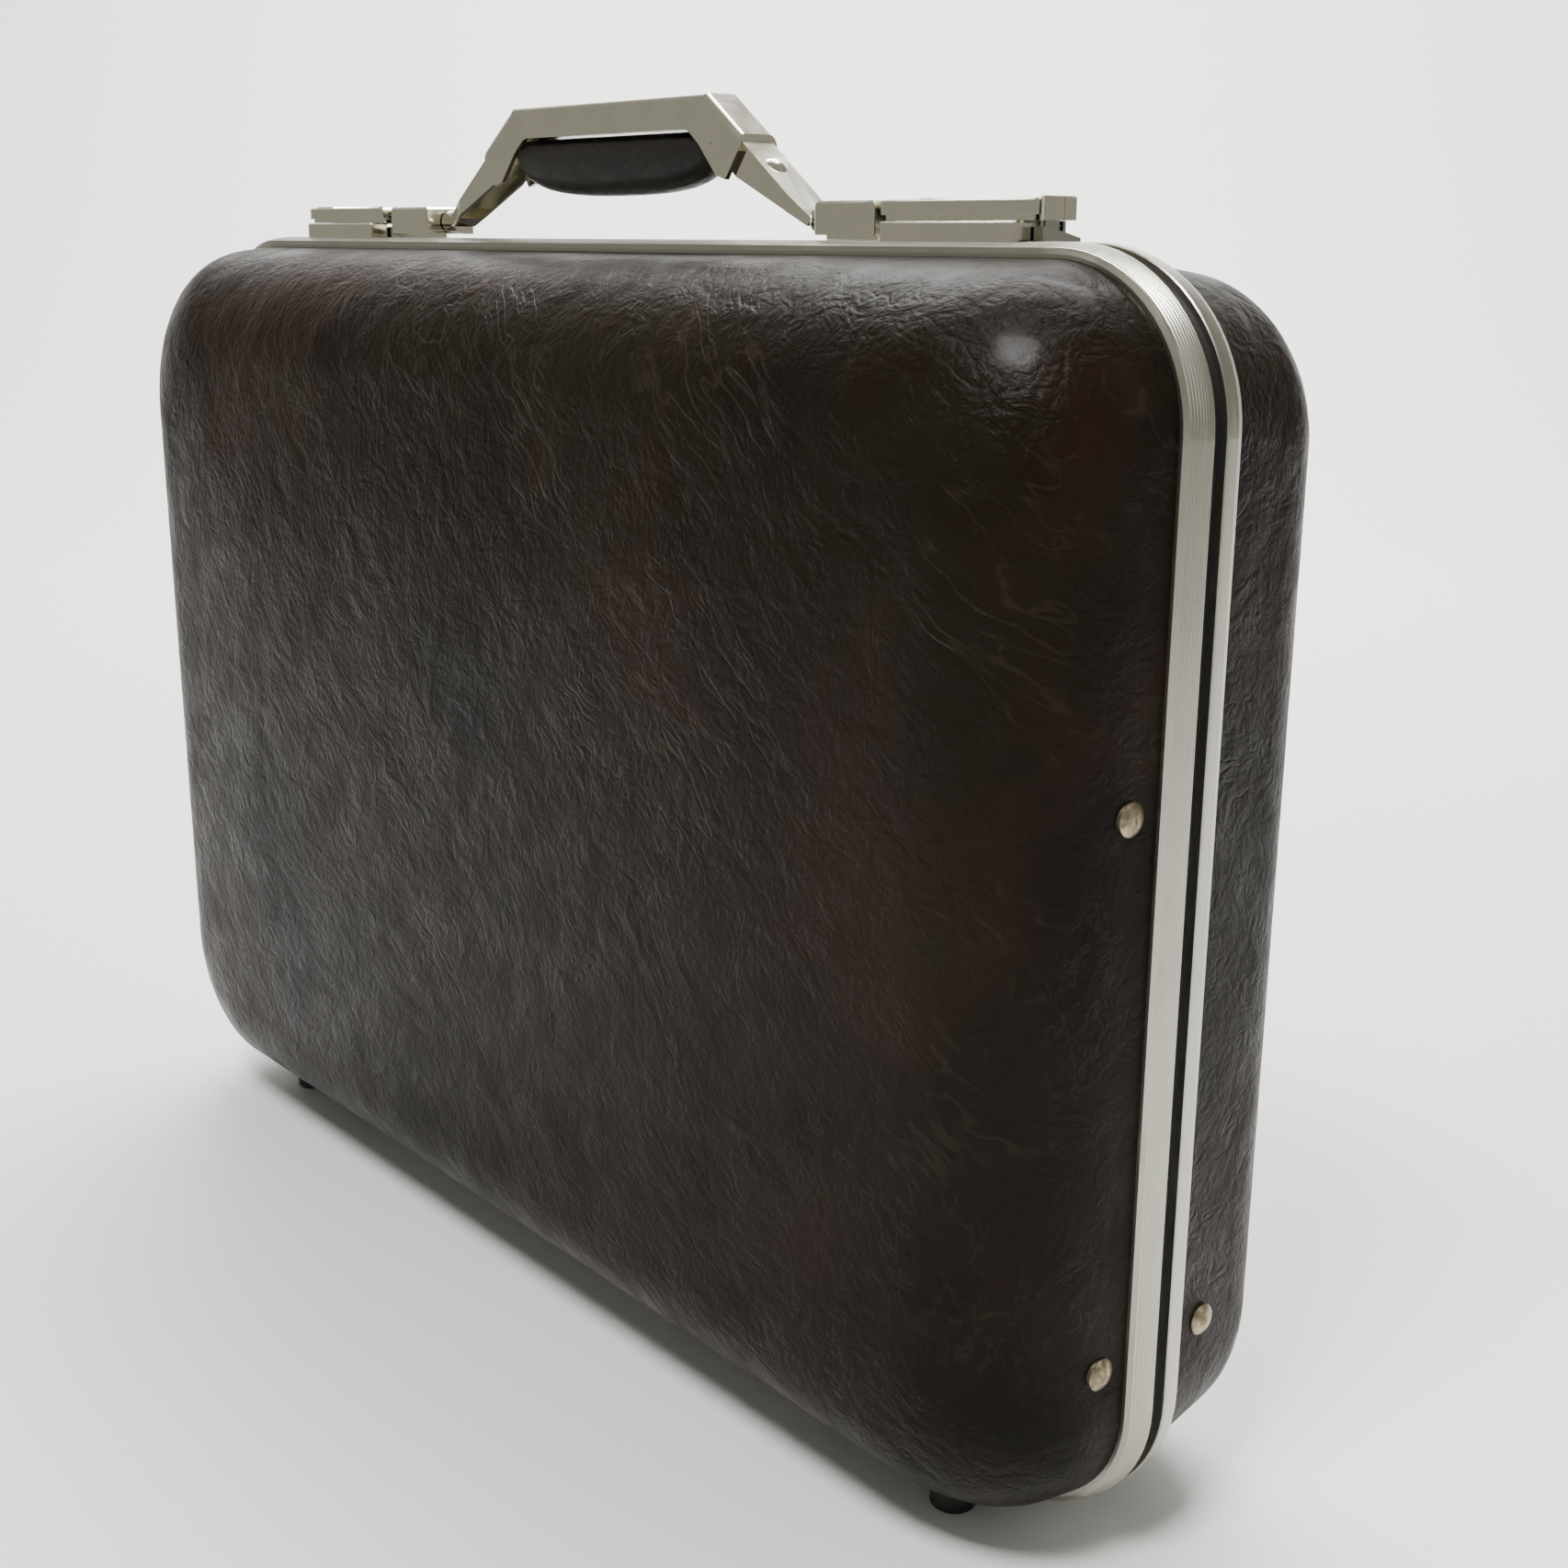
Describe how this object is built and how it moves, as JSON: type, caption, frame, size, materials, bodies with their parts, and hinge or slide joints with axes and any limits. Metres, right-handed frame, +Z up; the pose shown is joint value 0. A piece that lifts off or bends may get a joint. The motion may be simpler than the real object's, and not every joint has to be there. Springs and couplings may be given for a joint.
{
  "type": "attache case",
  "caption": "Hard-shell attache case with moulded grained shells in metal frames, hinged lid with stays, sprung latches and a folding handle.",
  "frame": {"origin": "on the ground, midway between the feet, in the parting plane's middle", "axes": "+X along the case's length, +Y through its thickness from the lid half to the base half, +Z up to the handle; the case stands on its hinge side"},
  "size_m": [0.4644, 0.127, 0.3701],
  "materials": {
    "grained_vinyl": "embossed leather-grain vinyl, dark brown, slightly glossy",
    "frame_aluminium": "satin anodised, fluted on the lid's frame",
    "bright_plating": "bright nickel-chrome plating on zinc",
    "dark_plating": "duller plated zinc of working parts",
    "bright_steel": "brushed steel",
    "spring_steel": "spring wire",
    "aged_brass": "aged nickel-brass rivets",
    "grip_leather": "near-black brown leather wrap",
    "lining_cloth": "tan suede-like lining",
    "pocket_leather": "mid-brown organiser leather",
    "seal_rubber": "black seal",
    "foot_rubber": "matt black"
  },
  "bodies": {
    "base": {"base_shell": "grained_vinyl", "base_frame": "frame_aluminium", "parting_seal": "seal_rubber", "base_lining": "lining_cloth", "pivot_rivets": "aged_brass", "base_hinge_leaves": "bright_steel", "hinge_pins": "bright_steel", "base_hinge_rivets": "bright_steel", "base_feet": "foot_rubber", "handle_post_left": "bright_plating", "handle_post_right": "bright_plating", "handle_pins": "bright_steel", "latch_base_left": "dark_plating", "latch_base_right": "dark_plating", "hasp_pins": "bright_steel", "latch_rivets": "bright_steel", "hasp_springs": "spring_steel", "slide_spring_left": "spring_steel", "slide_spring_right": "spring_steel"},
    "lid": {"lid_shell": "grained_vinyl", "lid_frame": "frame_aluminium", "lid_lining": "lining_cloth", "stay_track_left": "bright_steel", "stay_track_right": "bright_steel", "track_rivets": "aged_brass", "lid_hinge_leaves": "bright_steel", "lid_hinge_rivets": "bright_steel", "lid_feet": "foot_rubber", "keeper_left": "bright_plating", "keeper_right": "bright_plating", "organiser_panel": "pocket_leather", "file_pocket": "pocket_leather", "card_pocket": "pocket_leather", "pen_loops": "pocket_leather"},
    "handle": {"handle_cover": "bright_plating", "handle_core": "dark_plating", "handle_grip": "grip_leather", "handle_arm_left": "bright_plating", "handle_arm_right": "bright_plating", "handle_rivets": "bright_plating"},
    "hasp_left": {"hasp_left": "bright_plating"},
    "slide_left": {"thumb_slide_left": "bright_plating"},
    "lock_left": {"lock_cylinder_left": "dark_plating"},
    "stay_left": {"stay_arm_left": "bright_steel", "stay_slider_left": "bright_steel"},
    "hasp_right": {"hasp_right": "bright_plating"},
    "slide_right": {"thumb_slide_right": "bright_plating"},
    "lock_right": {"lock_cylinder_right": "dark_plating"},
    "stay_right": {"stay_arm_right": "bright_steel", "stay_slider_right": "bright_steel"}
  },
  "joints": [
    {"name": "lid_hinge", "type": "hinge", "parent": "base", "child": "lid", "pos_m": [0, -0.0033, 0.0049], "axis": [1, 0, 0], "range_deg": [0, 100]},
    {"name": "handle_swing", "type": "hinge", "parent": "base", "child": "handle", "pos_m": [0, 0.0055, 0.3359], "axis": [1, 0, 0], "range_deg": [-75, 70]},
    {"name": "stay_turn_left", "type": "hinge", "parent": "base", "child": "stay_left", "pos_m": [-0.21005, 0.018, 0.062], "axis": [1, 0, 0], "range_deg": [0, 110.5]},
    {"name": "hasp_flip_left", "type": "hinge", "parent": "base", "child": "hasp_left", "pos_m": [-0.15, 0.011, 0.3371], "axis": [-1, 0, 0], "range_deg": [0, 80], "deforming": ["hasp_springs"]},
    {"name": "thumb_slide_left", "type": "slide", "parent": "base", "child": "slide_left", "axis": [-1, 0, 0], "range_m": [0, 0.004], "stiffness_N_per_m": 400, "deforming": ["slide_spring_left"]},
    {"name": "key_turn_left", "type": "hinge", "parent": "hasp_left", "child": "lock_left", "pos_m": [-0.134, 0.0028, 0.3395], "axis": [0, 0, 1], "range_deg": [0, 90]},
    {"name": "stay_turn_right", "type": "hinge", "parent": "base", "child": "stay_right", "pos_m": [0.21005, 0.018, 0.062], "axis": [1, 0, 0], "range_deg": [0, 110.5]},
    {"name": "hasp_flip_right", "type": "hinge", "parent": "base", "child": "hasp_right", "pos_m": [0.15, 0.011, 0.3371], "axis": [-1, 0, 0], "range_deg": [0, 80], "deforming": ["hasp_springs"]},
    {"name": "thumb_slide_right", "type": "slide", "parent": "base", "child": "slide_right", "axis": [1, 0, 0], "range_m": [0, 0.004], "stiffness_N_per_m": 400, "deforming": ["slide_spring_right"]},
    {"name": "key_turn_right", "type": "hinge", "parent": "hasp_right", "child": "lock_right", "pos_m": [0.134, 0.0028, 0.3395], "axis": [0, 0, 1], "range_deg": [0, 90]}
  ],
  "couplings": [
    {"joint": "stay_turn_left", "follows": "lid_hinge", "ratio": 1.1},
    {"joint": "stay_turn_right", "follows": "lid_hinge", "ratio": 1.1}
  ]
}
